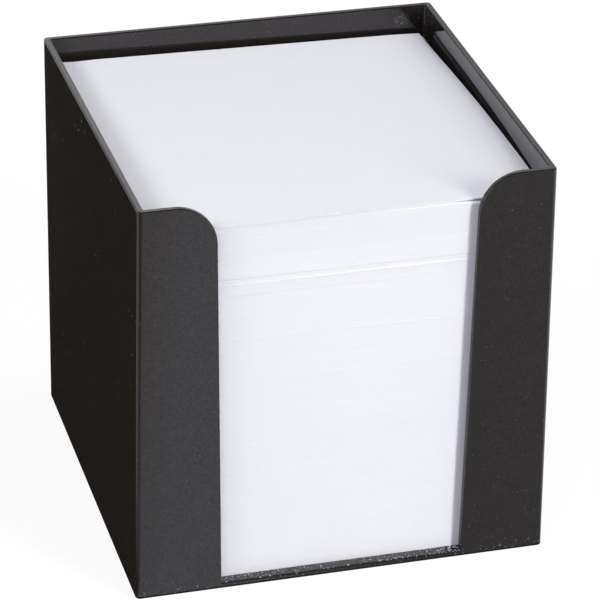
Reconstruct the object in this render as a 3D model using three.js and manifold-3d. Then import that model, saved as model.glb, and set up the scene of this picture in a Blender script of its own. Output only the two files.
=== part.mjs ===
// Desk note box: an open-topped moulded plastic box, filled with loose square notes.
//
// Millimetres, +Z up. The origin is on the desk under the middle of the box. The front with the finger slot
// faces -Y, and +X is to the right of somebody who looks at that front.

import * as THREE from "three";
import { mergeVertices } from "three/addons/utils/BufferGeometryUtils.js";
import Module from "manifold-3d";

const wasm = await Module();
wasm.setup();

// The notes. The box is made round them, so their size drives its width and depth.
const NOTE_WIDTH = 90;
const SHEET_THICKNESS = 0.1;
const SINGLE_NOTE_NAMES = ["top_note", "second_note", "third_note", "fourth_note", "fifth_note"];
const LIFT_COUNT = 36;
// Trapped air between a lift and the one under it.
const SHEET_AIR = 0.05;
// The middle of the top note lies this far below the rim. The stack falls away to its front and its right,
// because the sheets are pressed together where they are picked off.
const FILL_BELOW_RIM = 6.05;
const FALL_TO_FRONT = 0.9;
const FALL_TO_RIGHT = 0.8;
// How much a lift's thickness swings about the mean, and how far one lift's place in that swing is from the
// next one's.
const LIFT_SWING_SHARE = 0.3;
const LIFT_PHASE_SHARE = 0.382;

// The walls. The core is drafted, so they are thicker at the floor than at the rim.
const WALL_AT_RIM = 1.5;
const WALL_AT_FLOOR = 1.9;
const FLOOR_THICKNESS = 1.5;
const BOX_HEIGHT = 96.5;
// The side walls lean in as the moulding cools, more towards the slot, where no full front wall holds them
// apart.
const FRONT_LEAN_WIDTH = 1.2;
const BACK_LEAN_WIDTH = 0.3;

// Room round the notes, each at the narrowest place of the well.
const SIDE_CLEARANCE = 0.3;
const FRONT_CLEARANCE = 0.7;
const BACK_CLEARANCE = 2;
// How much of the narrowest clearance the lifts use up by lying askew.
const JOG_SHARE = 0.45;

// Rounded edges of the moulding.
const OUTER_CORNER_RADIUS = 1;
const INNER_CORNER_RADIUS = 0.8;
const RIM_EDGE_RADIUS = 0.35;
const FOOT_EDGE_RADIUS = 0.4;
const SILL_NOSE_RADIUS = 0.6;

// The finger slot in the front wall, narrower at the floor than at the rim, with round shoulders.
const SLOT_RIM_WIDTH = 58.9;
const SLOT_FLOOR_WIDTH = 56.4;
const SHOULDER_RADIUS = 9.5;

// The underside stands on a flat ring. The middle is set in, with the mark of the injection point.
const FOOT_RING_WIDTH = 3;
const FOOT_RECESS = 0.4;
const GATE_RADIUS = 3;
const GATE_DEPTH = 0.3;
const GATE_STUB_RADIUS = 0.8;
const GATE_STUB_HEIGHT = 0.2;

// Steps along the round forms, and how far a cutter runs past what it cuts.
const CORNER_STEPS = 6;
const EDGE_STEPS = 4;
const SHOULDER_STEPS = 28;
const GATE_STEPS = 32;
const OVERRUN = 1;

// Sizes that follow.
const NARROWEST_WALL_PLACE = Math.max(WALL_AT_RIM + FRONT_LEAN_WIDTH, WALL_AT_FLOOR);
const BOX_WIDTH = NOTE_WIDTH + 2 * (SIDE_CLEARANCE + NARROWEST_WALL_PLACE);
const THICKEST_WALL = Math.max(WALL_AT_RIM, WALL_AT_FLOOR);
const BOX_DEPTH = NOTE_WIDTH + FRONT_CLEARANCE + BACK_CLEARANCE + 2 * THICKEST_WALL;
const FRONT_FACE_Y = -BOX_DEPTH / 2;
const NOTE_MIDDLE_Y = FRONT_FACE_Y + THICKEST_WALL + FRONT_CLEARANCE + NOTE_WIDTH / 2;
const JOG = JOG_SHARE * Math.min(SIDE_CLEARANCE, FRONT_CLEARANCE, BACK_CLEARANCE);
const SIDE_ROOM_AT_FLOOR = BOX_WIDTH / 2 - WALL_AT_FLOOR - NOTE_WIDTH / 2;
const FLOOR_FILLET = Math.min(SIDE_ROOM_AT_FLOOR, FRONT_CLEARANCE, BACK_CLEARANCE) - JOG;

const plastic = new THREE.MeshStandardMaterial({ color: 0x1b1a18, roughness: 0.3, metalness: 0 });

function paper() {
  return new THREE.MeshStandardMaterial({ color: 0xf3f3f6, roughness: 0.9, metalness: 0 });
}

// A geometry as a solid that can be cut, and back again.
function toSolid(geometry) {
  const bare = geometry.clone();
  bare.deleteAttribute("normal");
  bare.deleteAttribute("uv");
  const merged = mergeVertices(bare);
  return new wasm.Manifold(new wasm.Mesh({
    numProp: 3,
    vertProperties: new Float32Array(merged.attributes.position.array),
    triVerts: new Uint32Array(merged.index.array),
  }));
}

function toGeometry(solid) {
  const mesh = solid.getMesh();
  const geometry = new THREE.BufferGeometry();
  geometry.setAttribute("position", new THREE.BufferAttribute(new Float32Array(mesh.vertProperties), 3));
  geometry.setIndex(new THREE.BufferAttribute(new Uint32Array(mesh.triVerts), 1));
  geometry.computeVertexNormals();
  return geometry;
}

// One level ring of the box, counterclockwise from above, inset from the leaning outer faces.
function wallRing({ inset, z, radius }) {
  const front = BOX_WIDTH / 2 - FRONT_LEAN_WIDTH * z / BOX_HEIGHT - inset - radius;
  const back = BOX_WIDTH / 2 - BACK_LEAN_WIDTH * z / BOX_HEIGHT - inset - radius;
  const reach = BOX_DEPTH / 2 - inset - radius;
  const corners = [[front, -reach], [back, reach], [-back, reach], [-front, -reach]];
  return corners.flatMap(([x, y], corner) => Array.from({ length: CORNER_STEPS + 1 }, (_, step) => {
    const turn = (corner - 1 + step / CORNER_STEPS) * Math.PI / 2;
    return new THREE.Vector3(x + radius * Math.cos(turn), y + radius * Math.sin(turn), z);
  }));
}

// A closed skin through a run of rings, shut by a flat fan at either end.
function skinThrough(rings) {
  const points = rings.flat();
  const around = rings[0].length;
  const faces = [];
  for (let row = 0; row < rings.length - 1; row += 1) {
    for (let i = 0; i < around; i += 1) {
      const next = (i + 1) % around;
      const a = row * around + i;
      const b = row * around + next;
      faces.push(a, b, b + around, a, b + around, a + around);
    }
  }
  const shut = (row, upwards) => {
    const middle = points.length;
    points.push(rings[row].reduce((sum, p) => sum.add(p), new THREE.Vector3()).divideScalar(around));
    for (let i = 0; i < around; i += 1) {
      const a = row * around + i;
      const b = row * around + (i + 1) % around;
      faces.push(middle, upwards ? a : b, upwards ? b : a);
    }
  };
  shut(0, false);
  shut(rings.length - 1, true);
  const geometry = new THREE.BufferGeometry().setFromPoints(points);
  geometry.setIndex(faces);
  return geometry;
}

// The quarter round of an edge in the wall's section, from one turn to the next, in quarter turns.
function quarterRound(insetCentre, zCentre, edgeRadius, startTurn, endTurn, cornerRadiusAt) {
  return Array.from({ length: EDGE_STEPS + 1 }, (_, step) => {
    const turn = (startTurn + (endTurn - startTurn) * step / EDGE_STEPS) * Math.PI / 2;
    const inset = insetCentre - edgeRadius * Math.cos(turn);
    return { inset, z: zCentre + edgeRadius * Math.sin(turn), radius: cornerRadiusAt(inset) };
  });
}

// The moulding before its slot is cut: its wall section carried round the four corners. It starts from the
// set-in middle of the underside and goes over the foot ring, up the outside, over the rim, down the drafted
// inside and onto the floor.
function openBox() {
  const wallAt = (z) => WALL_AT_RIM + (WALL_AT_FLOOR - WALL_AT_RIM) * (1 - z / BOX_HEIGHT);
  const rimZ = BOX_HEIGHT - RIM_EDGE_RADIUS;
  const innerRimInset = WALL_AT_RIM - RIM_EDGE_RADIUS;
  const floorTop = FLOOR_THICKNESS + FLOOR_FILLET;
  const insideFoot = wallAt(floorTop);
  const outerCorner = (inset) => OUTER_CORNER_RADIUS - inset;
  const rimCorner = (inset) => INNER_CORNER_RADIUS + WALL_AT_RIM - inset;
  const floorCorner = (inset) => INNER_CORNER_RADIUS + insideFoot - inset;
  const section = [
    { inset: FOOT_RING_WIDTH + FOOT_RECESS, z: FOOT_RECESS, radius: OUTER_CORNER_RADIUS },
    { inset: FOOT_RING_WIDTH, z: 0, radius: OUTER_CORNER_RADIUS },
    ...quarterRound(FOOT_EDGE_RADIUS, FOOT_EDGE_RADIUS, FOOT_EDGE_RADIUS, -1, 0, outerCorner),
    ...quarterRound(RIM_EDGE_RADIUS, rimZ, RIM_EDGE_RADIUS, 0, 1, outerCorner),
    ...quarterRound(innerRimInset, rimZ, RIM_EDGE_RADIUS, 1, 2, rimCorner),
    ...quarterRound(insideFoot + FLOOR_FILLET, floorTop, FLOOR_FILLET, 0, -1, floorCorner),
  ];
  return skinThrough(section.map(wallRing));
}

// The finger slot seen from the front: straight leaning edges, and shoulders that roll out onto the rim.
function slotCutter() {
  const rise = BOX_HEIGHT - FLOOR_THICKNESS;
  const lean = Math.atan2((SLOT_RIM_WIDTH - SLOT_FLOOR_WIDTH) / 2, rise);
  const shoulderZ = BOX_HEIGHT - SHOULDER_RADIUS;
  const edgeAt = (z) => SLOT_FLOOR_WIDTH / 2 + (z - FLOOR_THICKNESS) * Math.tan(lean);
  const shoulderX = edgeAt(shoulderZ) + SHOULDER_RADIUS / Math.cos(lean);
  const outline = new THREE.Shape();
  outline.moveTo(-SLOT_FLOOR_WIDTH / 2, FLOOR_THICKNESS);
  outline.lineTo(SLOT_FLOOR_WIDTH / 2, FLOOR_THICKNESS);
  outline.absarc(shoulderX, shoulderZ, SHOULDER_RADIUS, Math.PI - lean, Math.PI / 2, true);
  outline.lineTo(shoulderX, BOX_HEIGHT + OVERRUN);
  outline.lineTo(-shoulderX, BOX_HEIGHT + OVERRUN);
  outline.absarc(-shoulderX, shoulderZ, SHOULDER_RADIUS, Math.PI / 2, lean, true);
  const depth = THICKEST_WALL + FLOOR_FILLET + 2 * OVERRUN;
  const cutter = new THREE.ExtrudeGeometry(
    outline, { depth, bevelEnabled: false, curveSegments: SHOULDER_STEPS },
  );
  cutter.rotateX(Math.PI / 2);
  cutter.translate(0, FRONT_FACE_Y - OVERRUN + depth, 0);
  return cutter;
}

// Rounds the sill, the front edge of the floor between the wings, so that fingers and sheets slide over it.
function sillCutter() {
  const face = FRONT_FACE_Y;
  const top = FLOOR_THICKNESS;
  const centre = { y: face + SILL_NOSE_RADIUS, z: top - SILL_NOSE_RADIUS };
  const outline = new THREE.Shape();
  outline.moveTo(face - OVERRUN, centre.z);
  outline.lineTo(face, centre.z);
  outline.absarc(centre.y, centre.z, SILL_NOSE_RADIUS, Math.PI, Math.PI / 2, true);
  outline.lineTo(centre.y, top + OVERRUN);
  outline.lineTo(face - OVERRUN, top + OVERRUN);
  const cutter = new THREE.ExtrudeGeometry(
    outline, { depth: SLOT_FLOOR_WIDTH, bevelEnabled: false, curveSegments: 2 * EDGE_STEPS },
  );
  // The outline's first axis becomes Y, its second Z, and the run goes along X.
  cutter.applyMatrix4(new THREE.Matrix4().makeBasis(
    new THREE.Vector3(0, 1, 0), new THREE.Vector3(0, 0, 1), new THREE.Vector3(1, 0, 0),
  ));
  cutter.translate(-SLOT_FLOOR_WIDTH / 2, 0, 0);
  return cutter;
}

// An upright round plug on the middle of the underside, from one height to another.
function gatePlug(radius, bottom, top) {
  const plug = new THREE.CylinderGeometry(radius, radius, top - bottom, GATE_STEPS);
  plug.rotateX(Math.PI / 2);
  plug.translate(0, 0, (bottom + top) / 2);
  return plug;
}

function noteBox() {
  const dimpleRoof = FOOT_RECESS + GATE_DEPTH;
  const sunk = FLOOR_THICKNESS - dimpleRoof;
  const solid = toSolid(openBox())
    .subtract(toSolid(slotCutter()))
    .subtract(toSolid(sillCutter()))
    .subtract(toSolid(gatePlug(GATE_RADIUS, FOOT_RECESS - OVERRUN, dimpleRoof)))
    .add(toSolid(gatePlug(GATE_STUB_RADIUS, dimpleRoof - GATE_STUB_HEIGHT, dimpleRoof + sunk / 2)));
  const mesh = new THREE.Mesh(toGeometry(solid), plastic);
  mesh.name = "note_box";
  return mesh;
}

// How high the stack is at a place on the sheet, at a share of its height, measured from the floor.
function stackHeight(share, x, y) {
  const middle = BOX_HEIGHT - FILL_BELOW_RIM - FLOOR_THICKNESS;
  return share * (middle + FALL_TO_FRONT * y / NOTE_WIDTH - FALL_TO_RIGHT * x / NOTE_WIDTH);
}

// Square sheets between two shares of the stack's height, less the air under them, as one slab that thins to
// the front and the right as the stack does.
function sheets(name, lowShare, highShare, order) {
  const slab = new THREE.BoxGeometry(NOTE_WIDTH, NOTE_WIDTH, SHEET_THICKNESS);
  const corners = slab.attributes.position;
  const base = stackHeight(lowShare, 0, 0);
  for (let i = 0; i < corners.count; i += 1) {
    const x = corners.getX(i);
    const y = corners.getY(i);
    const onTop = corners.getZ(i) > 0;
    const height = onTop ? stackHeight(highShare, x, y) : stackHeight(lowShare, x, y) + SHEET_AIR;
    corners.setZ(i, height - base);
  }
  slab.computeVertexNormals();
  const mesh = new THREE.Mesh(slab, paper());
  mesh.name = name;
  // Half of the jog goes into shifting the sheets and half into turning them. The turn is taken at a corner.
  const cornerReach = NOTE_WIDTH / Math.SQRT2;
  const turn = 2 * Math.PI * LIFT_PHASE_SHARE * order;
  mesh.position.set(JOG / 2 * Math.cos(turn), JOG / 2 * Math.sin(turn), base);
  mesh.rotation.z = JOG / 2 / cornerReach * Math.cos(2 * turn);
  return mesh;
}

// The stack from the floor up: the lifts, and the single notes on top of them.
function noteStack() {
  const stack = new THREE.Group();
  stack.position.set(0, NOTE_MIDDLE_Y, FLOOR_THICKNESS);
  const wholeStack = stackHeight(1, 0, 0);
  const singleShare = (SHEET_THICKNESS + SHEET_AIR) / wholeStack;
  const liftsShare = 1 - SINGLE_NOTE_NAMES.length * singleShare;
  const weights = Array.from(
    { length: LIFT_COUNT }, (_, i) => 1 + LIFT_SWING_SHARE * Math.sin(2 * Math.PI * LIFT_PHASE_SHARE * i),
  );
  const weightSum = weights.reduce((sum, weight) => sum + weight, 0);
  let low = 0;
  weights.forEach((weight, i) => {
    const high = low + liftsShare * weight / weightSum;
    const number = String(i + 1).padStart(2, "0");
    stack.add(sheets(`note_lift_${number}`, low, high, i));
    low = high;
  });
  SINGLE_NOTE_NAMES.toReversed().forEach((name, i) => {
    stack.add(sheets(name, low, low + singleShare, LIFT_COUNT + i));
    low += singleShare;
  });
  return stack;
}

const filledBox = new THREE.Group();
filledBox.add(noteBox());
filledBox.add(noteStack());

export default filledBox;
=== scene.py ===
# %% [markdown]
# # A black desk box full of note paper
#
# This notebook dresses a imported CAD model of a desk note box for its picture. The real thing is one black
# plastic moulding, open at the top, with a wide finger slot in its front wall. Some 850 loose white sheets
# stand in it. The CAD model gives the sizes and says what moves. Here each piece gets the shape and the
# finish that a camera sees.

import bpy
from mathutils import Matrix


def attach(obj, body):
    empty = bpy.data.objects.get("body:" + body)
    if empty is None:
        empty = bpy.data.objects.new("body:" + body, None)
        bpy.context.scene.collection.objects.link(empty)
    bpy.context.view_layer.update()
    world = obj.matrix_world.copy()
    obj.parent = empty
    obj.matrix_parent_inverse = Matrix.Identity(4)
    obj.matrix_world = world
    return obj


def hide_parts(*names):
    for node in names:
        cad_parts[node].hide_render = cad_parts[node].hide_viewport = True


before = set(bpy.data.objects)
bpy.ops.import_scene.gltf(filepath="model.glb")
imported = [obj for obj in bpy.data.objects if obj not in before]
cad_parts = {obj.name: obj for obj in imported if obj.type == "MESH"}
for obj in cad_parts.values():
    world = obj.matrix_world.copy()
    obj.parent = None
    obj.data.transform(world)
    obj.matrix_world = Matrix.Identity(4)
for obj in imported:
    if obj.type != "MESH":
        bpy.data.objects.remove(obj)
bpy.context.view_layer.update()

# %% [markdown]
# Blender works in metres, and the maker of such a box in millimetres. Sizes below are written in
# millimetres and multiplied by MM where they meet Blender. The places of the studio's lamps and cards are
# in metres.

# %% Tools for the rest of the notebook
import math

import bmesh
import bpy
from mathutils import Matrix, Vector

scene = bpy.context.scene
MM = 0.001


def link(obj):
    """Puts a new object into the scene, and hands it back."""
    scene.collection.objects.link(obj)
    return obj


print("Blender", bpy.app.version_string)

# %% [markdown]
# ## The camera
#
# The picture was taken from the front left and from above, with a long lens: the box's upright edges hardly
# draw together. The camera's place comes from fitting a box of the CAD sizes to the outline in the
# photograph. A matrix built from three directions (to the right, up, and back from the view) holds it
# better than three angles would, because the small tilt of the picture is then part of it.

# %% Place the camera
VIEW_TURN = math.radians(15.785)
VIEW_DROP = math.radians(27.803)
PICTURE_TILT = math.radians(0.967)
CAMERA_DISTANCE = 761.2 * MM
AIM = Vector((2.63 * MM, 0, 44.99 * MM))
FOCAL_PIXELS = 3252.2
PICTURE_PIXELS = 600

forward = Vector((math.sin(VIEW_TURN) * math.cos(VIEW_DROP), math.cos(VIEW_TURN) * math.cos(VIEW_DROP),
                  -math.sin(VIEW_DROP)))
level_right = Vector((math.cos(VIEW_TURN), -math.sin(VIEW_TURN), 0))
level_up = level_right.cross(forward)
right = level_right * math.cos(PICTURE_TILT) + level_up * math.sin(PICTURE_TILT)
up = level_up * math.cos(PICTURE_TILT) - level_right * math.sin(PICTURE_TILT)

lens = bpy.data.cameras.new("photo_camera")
lens.sensor_width = 36
lens.lens = FOCAL_PIXELS / PICTURE_PIXELS * lens.sensor_width
lens.clip_start, lens.clip_end = 0.05, 20
camera = link(bpy.data.objects.new("photo_camera", lens))
facing = Matrix((right, up, -forward)).transposed().to_4x4()
camera.matrix_world = Matrix.Translation(AIM - forward * CAMERA_DISTANCE) @ facing
scene.camera = camera
print("lens: %.1f mm, camera at" % lens.lens, [round(v, 4) for v in camera.matrix_world.translation])

# %% [markdown]
# ## The studio
#
# The shadows tell where the lamps stood. Beside the right wing a narrow shadow with a fairly crisp upright
# edge lies on the paper, so the main light is a narrow strip to the right of the front, and low, because
# the wing's shadow on the top sheet is faint. Along the left wall the top sheet darkens softly, so a
# second, wider light stands well to the left. Along the right wall the shadow is shorter, so a third light
# stands higher, to the right. A weak one at the camera's left opens the shadows. The floor and the air
# round it are white to the camera and to reflections, but give the object only a plain, even light.

# %% Lamps
BOX_MIDDLE = Vector((0, 0, 0.05))


def softbox(name, azimuth, elevation, distance, width, height, power, tint=(1, 1, 1)):
    """A rectangular lamp that looks at the box. Azimuth 0 lies ahead of the front, and 90 to its right."""
    lamp = bpy.data.lights.new(name, "AREA")
    lamp.shape, lamp.size, lamp.size_y, lamp.energy = "RECTANGLE", width, height, power
    lamp.color = tint
    a, e = math.radians(azimuth), math.radians(elevation)
    away = Vector((math.sin(a) * math.cos(e), -math.cos(a) * math.cos(e), math.sin(e)))
    holder = link(bpy.data.objects.new(name, lamp))
    holder.location = BOX_MIDDLE + away * distance
    holder.rotation_euler = away.to_track_quat("Z", "Y").to_euler()
    holder.visible_glossy = False
    print("%s: %.1f W, %.2f by %.2f m" % (name, power, width, height))


softbox("key_strip", azimuth=32, elevation=20, distance=1.3, width=0.24, height=0.7, power=12.0,
        tint=(1, 0.995, 0.935))
softbox("left_window", azimuth=-75, elevation=38, distance=1.7, width=0.85, height=0.57, power=13.2)
softbox("right_window", azimuth=75, elevation=66, distance=1.2, width=0.4, height=0.4, power=4.1)
softbox("camera_fill", azimuth=-30, elevation=38, distance=1.4, width=0.4, height=0.4, power=3.5,
        tint=(0.97, 0.97, 1))

# %% [markdown]
# Every light and every finish from here on is a tree of nodes. Four helpers keep the building of one short:
# the first empties a tree, the second adds a node and sets it, the third calculates with sockets and
# numbers alike, and the fourth carries a value from one range over to another.

# %% Helpers for node trees
def shader_tree(owner):
    """The owner's node tree, emptied."""
    owner.use_nodes = True
    owner.node_tree.nodes.clear()
    return owner.node_tree


def add_node(tree, kind, **settings):
    """A new node, with its own settings and its unlinked inputs given by name."""
    node = tree.nodes.new(kind)
    for key, value in settings.pop("inputs", {}).items():
        node.inputs[key].default_value = value
    for key, value in settings.items():
        setattr(node, key, value)
    return node


def calc(tree, operation, *values):
    """A maths node on sockets and numbers. It works in a material and in a Geometry Nodes tree alike."""
    node = add_node(tree, "ShaderNodeMath", operation=operation)
    for socket, value in zip(node.inputs, values):
        if isinstance(value, bpy.types.NodeSocket):
            tree.links.new(value, socket)
        else:
            socket.default_value = value
    return node.outputs[0]


def between(tree, value, low, high, to_low, to_high):
    """Carries a value from one range to another, and stops at its ends."""
    node = add_node(tree, "ShaderNodeMapRange", inputs={
        "From Min": low, "From Max": high, "To Min": to_low, "To Max": to_high})
    tree.links.new(value, node.inputs["Value"])
    return node.outputs[0]


print("node helpers:", [helper.__name__ for helper in (shader_tree, add_node, calc, between)])

# %% [markdown]
# The air round the box has two faces. The camera and the reflections see plain white. Everything else gets
# an even light from it, faint and a little cool, which is what keeps the shadows on the paper lavender and
# not black.

# %% Light from all round
def seen_rays(tree):
    """One for rays from the camera, a reflection or a refraction, and nought for the rest."""
    path = add_node(tree, "ShaderNodeLightPath").outputs
    shown = calc(tree, "MAXIMUM", path["Is Camera Ray"], path["Is Glossy Ray"])
    return calc(tree, "MAXIMUM", shown, path["Is Transmission Ray"])


EVEN_LIGHT = (0.115, 0.115, 0.14, 1)
studio = bpy.data.worlds.new("studio")
scene.world = studio
tree = shader_tree(studio)
felt = add_node(tree, "ShaderNodeBackground", inputs={"Color": EVEN_LIGHT, "Strength": 1.0})
white_air = add_node(tree, "ShaderNodeBackground", inputs={"Color": (1, 1, 1, 1), "Strength": 1.0})
choice = add_node(tree, "ShaderNodeMixShader")
tree.links.new(seen_rays(tree), choice.inputs[0])
tree.links.new(felt.outputs[0], choice.inputs[1])
tree.links.new(white_air.outputs[0], choice.inputs[2])
tree.links.new(choice.outputs[0], add_node(tree, "ShaderNodeOutputWorld").inputs["Surface"])
print("even light:", EVEN_LIGHT[:3])

# %% [markdown]
# The floor has two faces. To the lamps it is plain grey board, so it throws soft light up onto the paper.
# To the camera most of its brightness is its own, and the rest comes from the lamps, so that it is white
# where nothing stands and still keeps a faint shadow of the box.

# %% The floor
def stage_sheet(name, corners, material):
    """A flat sheet that belongs to the studio and not to the object."""
    mesh = bpy.data.meshes.new(name)
    mesh.from_pydata(corners, [], [tuple(range(len(corners)))])
    mesh.materials.append(material)
    sheet = link(bpy.data.objects.new(name, mesh))
    return sheet


BOARD_TO_LAMPS, BOARD_TO_CAMERA, BOARD_GLOW = (0.46, 0.46, 0.5, 1), (0.2, 0.2, 0.2, 1), 0.86
FLOOR_REACH = 4
board = bpy.data.materials.new("pale_board")
tree = shader_tree(board)
lit = add_node(tree, "ShaderNodeBsdfDiffuse", inputs={"Color": BOARD_TO_LAMPS})
faint = add_node(tree, "ShaderNodeBsdfDiffuse", inputs={"Color": BOARD_TO_CAMERA})
glow = add_node(tree, "ShaderNodeEmission", inputs={"Color": (1, 1, 1, 1), "Strength": BOARD_GLOW})
shown = add_node(tree, "ShaderNodeAddShader")
choice = add_node(tree, "ShaderNodeMixShader")
tree.links.new(glow.outputs[0], shown.inputs[0])
tree.links.new(faint.outputs[0], shown.inputs[1])
tree.links.new(seen_rays(tree), choice.inputs[0])
tree.links.new(lit.outputs[0], choice.inputs[1])
tree.links.new(shown.outputs[0], choice.inputs[2])
tree.links.new(choice.outputs[0], add_node(tree, "ShaderNodeOutputMaterial").inputs["Surface"])
floor = stage_sheet("floor", [(-FLOOR_REACH, -FLOOR_REACH, 0), (FLOOR_REACH, -FLOOR_REACH, 0),
                              (FLOOR_REACH, FLOOR_REACH, 0), (-FLOOR_REACH, FLOOR_REACH, 0)], board)
print("floor: %.0f by %.0f m" % floor.dimensions[:2])

# %% [markdown]
# Black plastic is mostly what it mirrors, so photographers hang cards round it. A card here shows in
# reflections only and glows by itself, and the lamps show in none, so the light and shade that it lends the
# plastic is painted reflection. Its shade can change along one direction, from stop to stop, so one card can
# be dark at one end and bright at the other, as a table is that fades into the room.

# %% A card for the reflections
def card(name, corners, across, shades):
    """A card that only reflections show. Its shade runs along one direction, from stop to stop in metres."""
    material = bpy.data.materials.new(name)
    tree = shader_tree(material)
    along = add_node(tree, "ShaderNodeVectorMath", operation="DOT_PRODUCT", inputs={1: across})
    tree.links.new(add_node(tree, "ShaderNodeTexCoord").outputs["Object"], along.inputs[0])
    low, high = shades[0][0], shades[-1][0]
    ramp = add_node(tree, "ShaderNodeValToRGB")
    tree.links.new(between(tree, along.outputs["Value"], low, high, 0.0, 1.0), ramp.inputs[0])
    stops = ramp.color_ramp.elements
    while len(stops) < len(shades):
        stops.new(0.5)
    for stop, (place, shade) in zip(stops, shades):
        stop.position = (place - low) / (high - low)
        stop.color = (*shade, 1)
    glow = add_node(tree, "ShaderNodeEmission", inputs={"Strength": 1.0})
    tree.links.new(ramp.outputs[0], glow.inputs["Color"])
    tree.links.new(glow.outputs[0], add_node(tree, "ShaderNodeOutputMaterial").inputs["Surface"])
    sheet = stage_sheet(name, corners, material)
    sheet.visible_camera = sheet.visible_diffuse = sheet.visible_shadow = sheet.visible_transmission = False
    print("%s: %d shades" % (name, len(shades)))


def grey(value, warmth=1.0):
    """A grey that is a little warm above one and a little cool below it."""
    return (value * warmth, value, value / warmth)


def flat(height, *corners):
    """Corners that lie at one height above the table."""
    return [(x, y, height) for x, y in corners]


print("a warm dark grey:", [round(part, 4) for part in grey(0.016, 1.2)])

# %% [markdown]
# Four cards lie on the table. The left side of this box is almost black, although a side that is seen this
# flat mirrors strongly: a dark card paints the box's shadow on the table where that side would mirror it.
# Seen from behind, that side mirrors the card's edge as a slanting change of shade. Beside it, the grey
# table card is painted darker towards the box. Another dark card paints the contact shadow under the foot,
# and it reaches a little under its neighbours, so that no bright gap shows at the foot of the box. The right
# wing is darker than the left one, so the board in front is painted darker towards the right.

# %% Cards on the table
UNDER_ALL, ON_TABLE, ON_TOP = 0.0001, 0.0002, 0.0004
# Painted shade: the table beside the left side, darker towards the box.
card("left_table", flat(ON_TABLE, (-0.6, -0.35), (-0.0489, -0.0484), (-0.0489, 0.052), (-0.6, 0.6)),
     (1, 0, 0), [(-0.6, grey(0.9)), (-0.35, grey(0.6)), (-0.0489, grey(0.6))])
# Painted contact shadow under the foot of the box.
card("painted_foot_shadow", flat(UNDER_ALL, (-0.0487, -0.0492), (0.0484, -0.0492), (0.0484, 0.0486),
                            (-0.048, 0.0486), (-0.048, 0.052), (-0.0487, 0.052)),
     (1, 0, 0), [(-0.05, grey(0.01)), (0.05, grey(0.01))])
# Painted shadow of the box on the table, where the left side mirrors it.
card("painted_table_shadow", flat(ON_TOP, (-0.16, 0.1), (-0.0484, -0.15), (-0.0484, 0.052), (-0.088, 0.32)),
     (0.929, 0.37, 0), [(-0.11, grey(0.6)), (-0.067, grey(0.016, 1.2)), (0.07, grey(0.016, 1.2))])
# Painted shade of the board in front, darker towards the right.
card("shaded_board", flat(ON_TOP, (-0.45, -0.225), (0.26, -0.45), (0.26, -0.25), (0.055, -0.0486),
                          (-0.0485, -0.0486)),
     (1, 0.283, 0), [(-0.12, grey(0.12)), (-0.098, grey(0.3)), (-0.066, grey(0.55)),
                     (-0.056, grey(0.75, 0.97)), (-0.036, grey(0.74, 0.97)), (-0.018, grey(0.5, 0.97)),
                     (0.006, grey(0.27, 0.97)), (0.046, grey(0.31, 0.97)), (0.075, grey(0.45)),
                     (0.13, grey(0.95)), (0.25, grey(1.0))])

# %% [markdown]
# Three cards stand round the table. The rims of the box run from light on the left to darker on the right,
# and so does the card behind the box, whose bright and dark bands paint the highlights and the thin dark
# line on the rims. The thin edges that face up and forward are dark, because the room behind and above the
# camera is.

# %% Cards that stand
# Painted reflections of the rims: bright bands for their highlights, and a dark band for a thin dark line.
card("painted_rim_reflections", [(-1.6, 1.3, 0.0), (1.8, 1.3, 0.0), (1.8, 1.3, 1.5), (-1.6, 1.3, 1.5)],
     (1, 0, -1), [(-1.3, grey(0.9)), (-1.21, grey(0.9)), (-1.19, grey(0.03)), (-0.94, grey(0.03)),
                  (-0.88, grey(1.4)), (-0.78, grey(1.6)), (-0.55, grey(1.3)), (-0.47, grey(1.2)),
                  (-0.42, grey(0.85)), (-0.37, grey(0.75)), (-0.29, grey(0.9)), (-0.2, grey(0.62)),
                  (-0.1, grey(0.7)), (0.1, grey(1.1))])
card("dark_room_front", [(-2, -1.6, 0.0), (2, -1.6, 0.0), (2, -1.2, 1.9), (-2, -1.2, 1.9)],
     (1, 0, 0), [(-2, grey(0.02)), (2, grey(0.02))])
card("dark_room_roof", [(-2, -1.2, 1.9), (2, -1.2, 1.9), (2, 1.3, 1.5), (-2, 1.3, 1.5)],
     (1, 0, 0), [(-2, grey(0.02)), (2, grey(0.02))])

# %% [markdown]
# ## The black moulding
#
# The box is one injection moulding: a floor and four drafted walls, with a slot cut through the front wall.
# Its side walls lean in a little, most beside the slot. The mesh is made as the toolmaker thinks of it: one
# wall section is carried round the four corners as a stack of rings, then a cutter takes the slot away, and
# last every sharp edge gets its small radius. Rounding comes last so that it runs on from the rim round the
# shoulders and down the slot.

# %% Sizes of the moulding, in millimetres
BOX_HEIGHT, BOX_WIDTH, BOX_DEPTH = 96.5, 96.0, 96.5
FRONT_LEAN, BACK_LEAN = 1.2, 0.3
WALL_AT_RIM, WALL_AT_FLOOR, FLOOR = 1.5, 1.9, 1.5
OUTER_CORNER, INNER_CORNER, FLOOR_FILLET = 1.0, 0.4, 0.35
SLOT_RIM_WIDTH, SLOT_FLOOR_WIDTH, SHOULDER = 58.9, 56.4, 9.5
FOOT_RING, FOOT_RECESS = 3.0, 0.4
GATE_DIMPLE, GATE_STUB, DIMPLE_DEPTH, STUB_LENGTH = 3.0, 0.8, 0.3, 0.2
EDGE_ROUND, SILL_ROUND, FOOT_ROUND = 0.33, 0.6, 0.4
CORNER_STEPS, WALL_ROWS, FILLET_STEPS, SHOULDER_STEPS = 10, 12, 6, 40
print("box: %.1f by %.1f by %.1f mm" % (BOX_WIDTH, BOX_DEPTH, BOX_HEIGHT))

# %% [markdown]
# A ring is the wall's outline at one height. All rings have the same number of points, ten steps round each
# corner, so that neighbouring rings can be sewn point to point. The mark of the injection gate, in the
# middle of the underside, is round, and its rings have as many points as the square ones.

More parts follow.
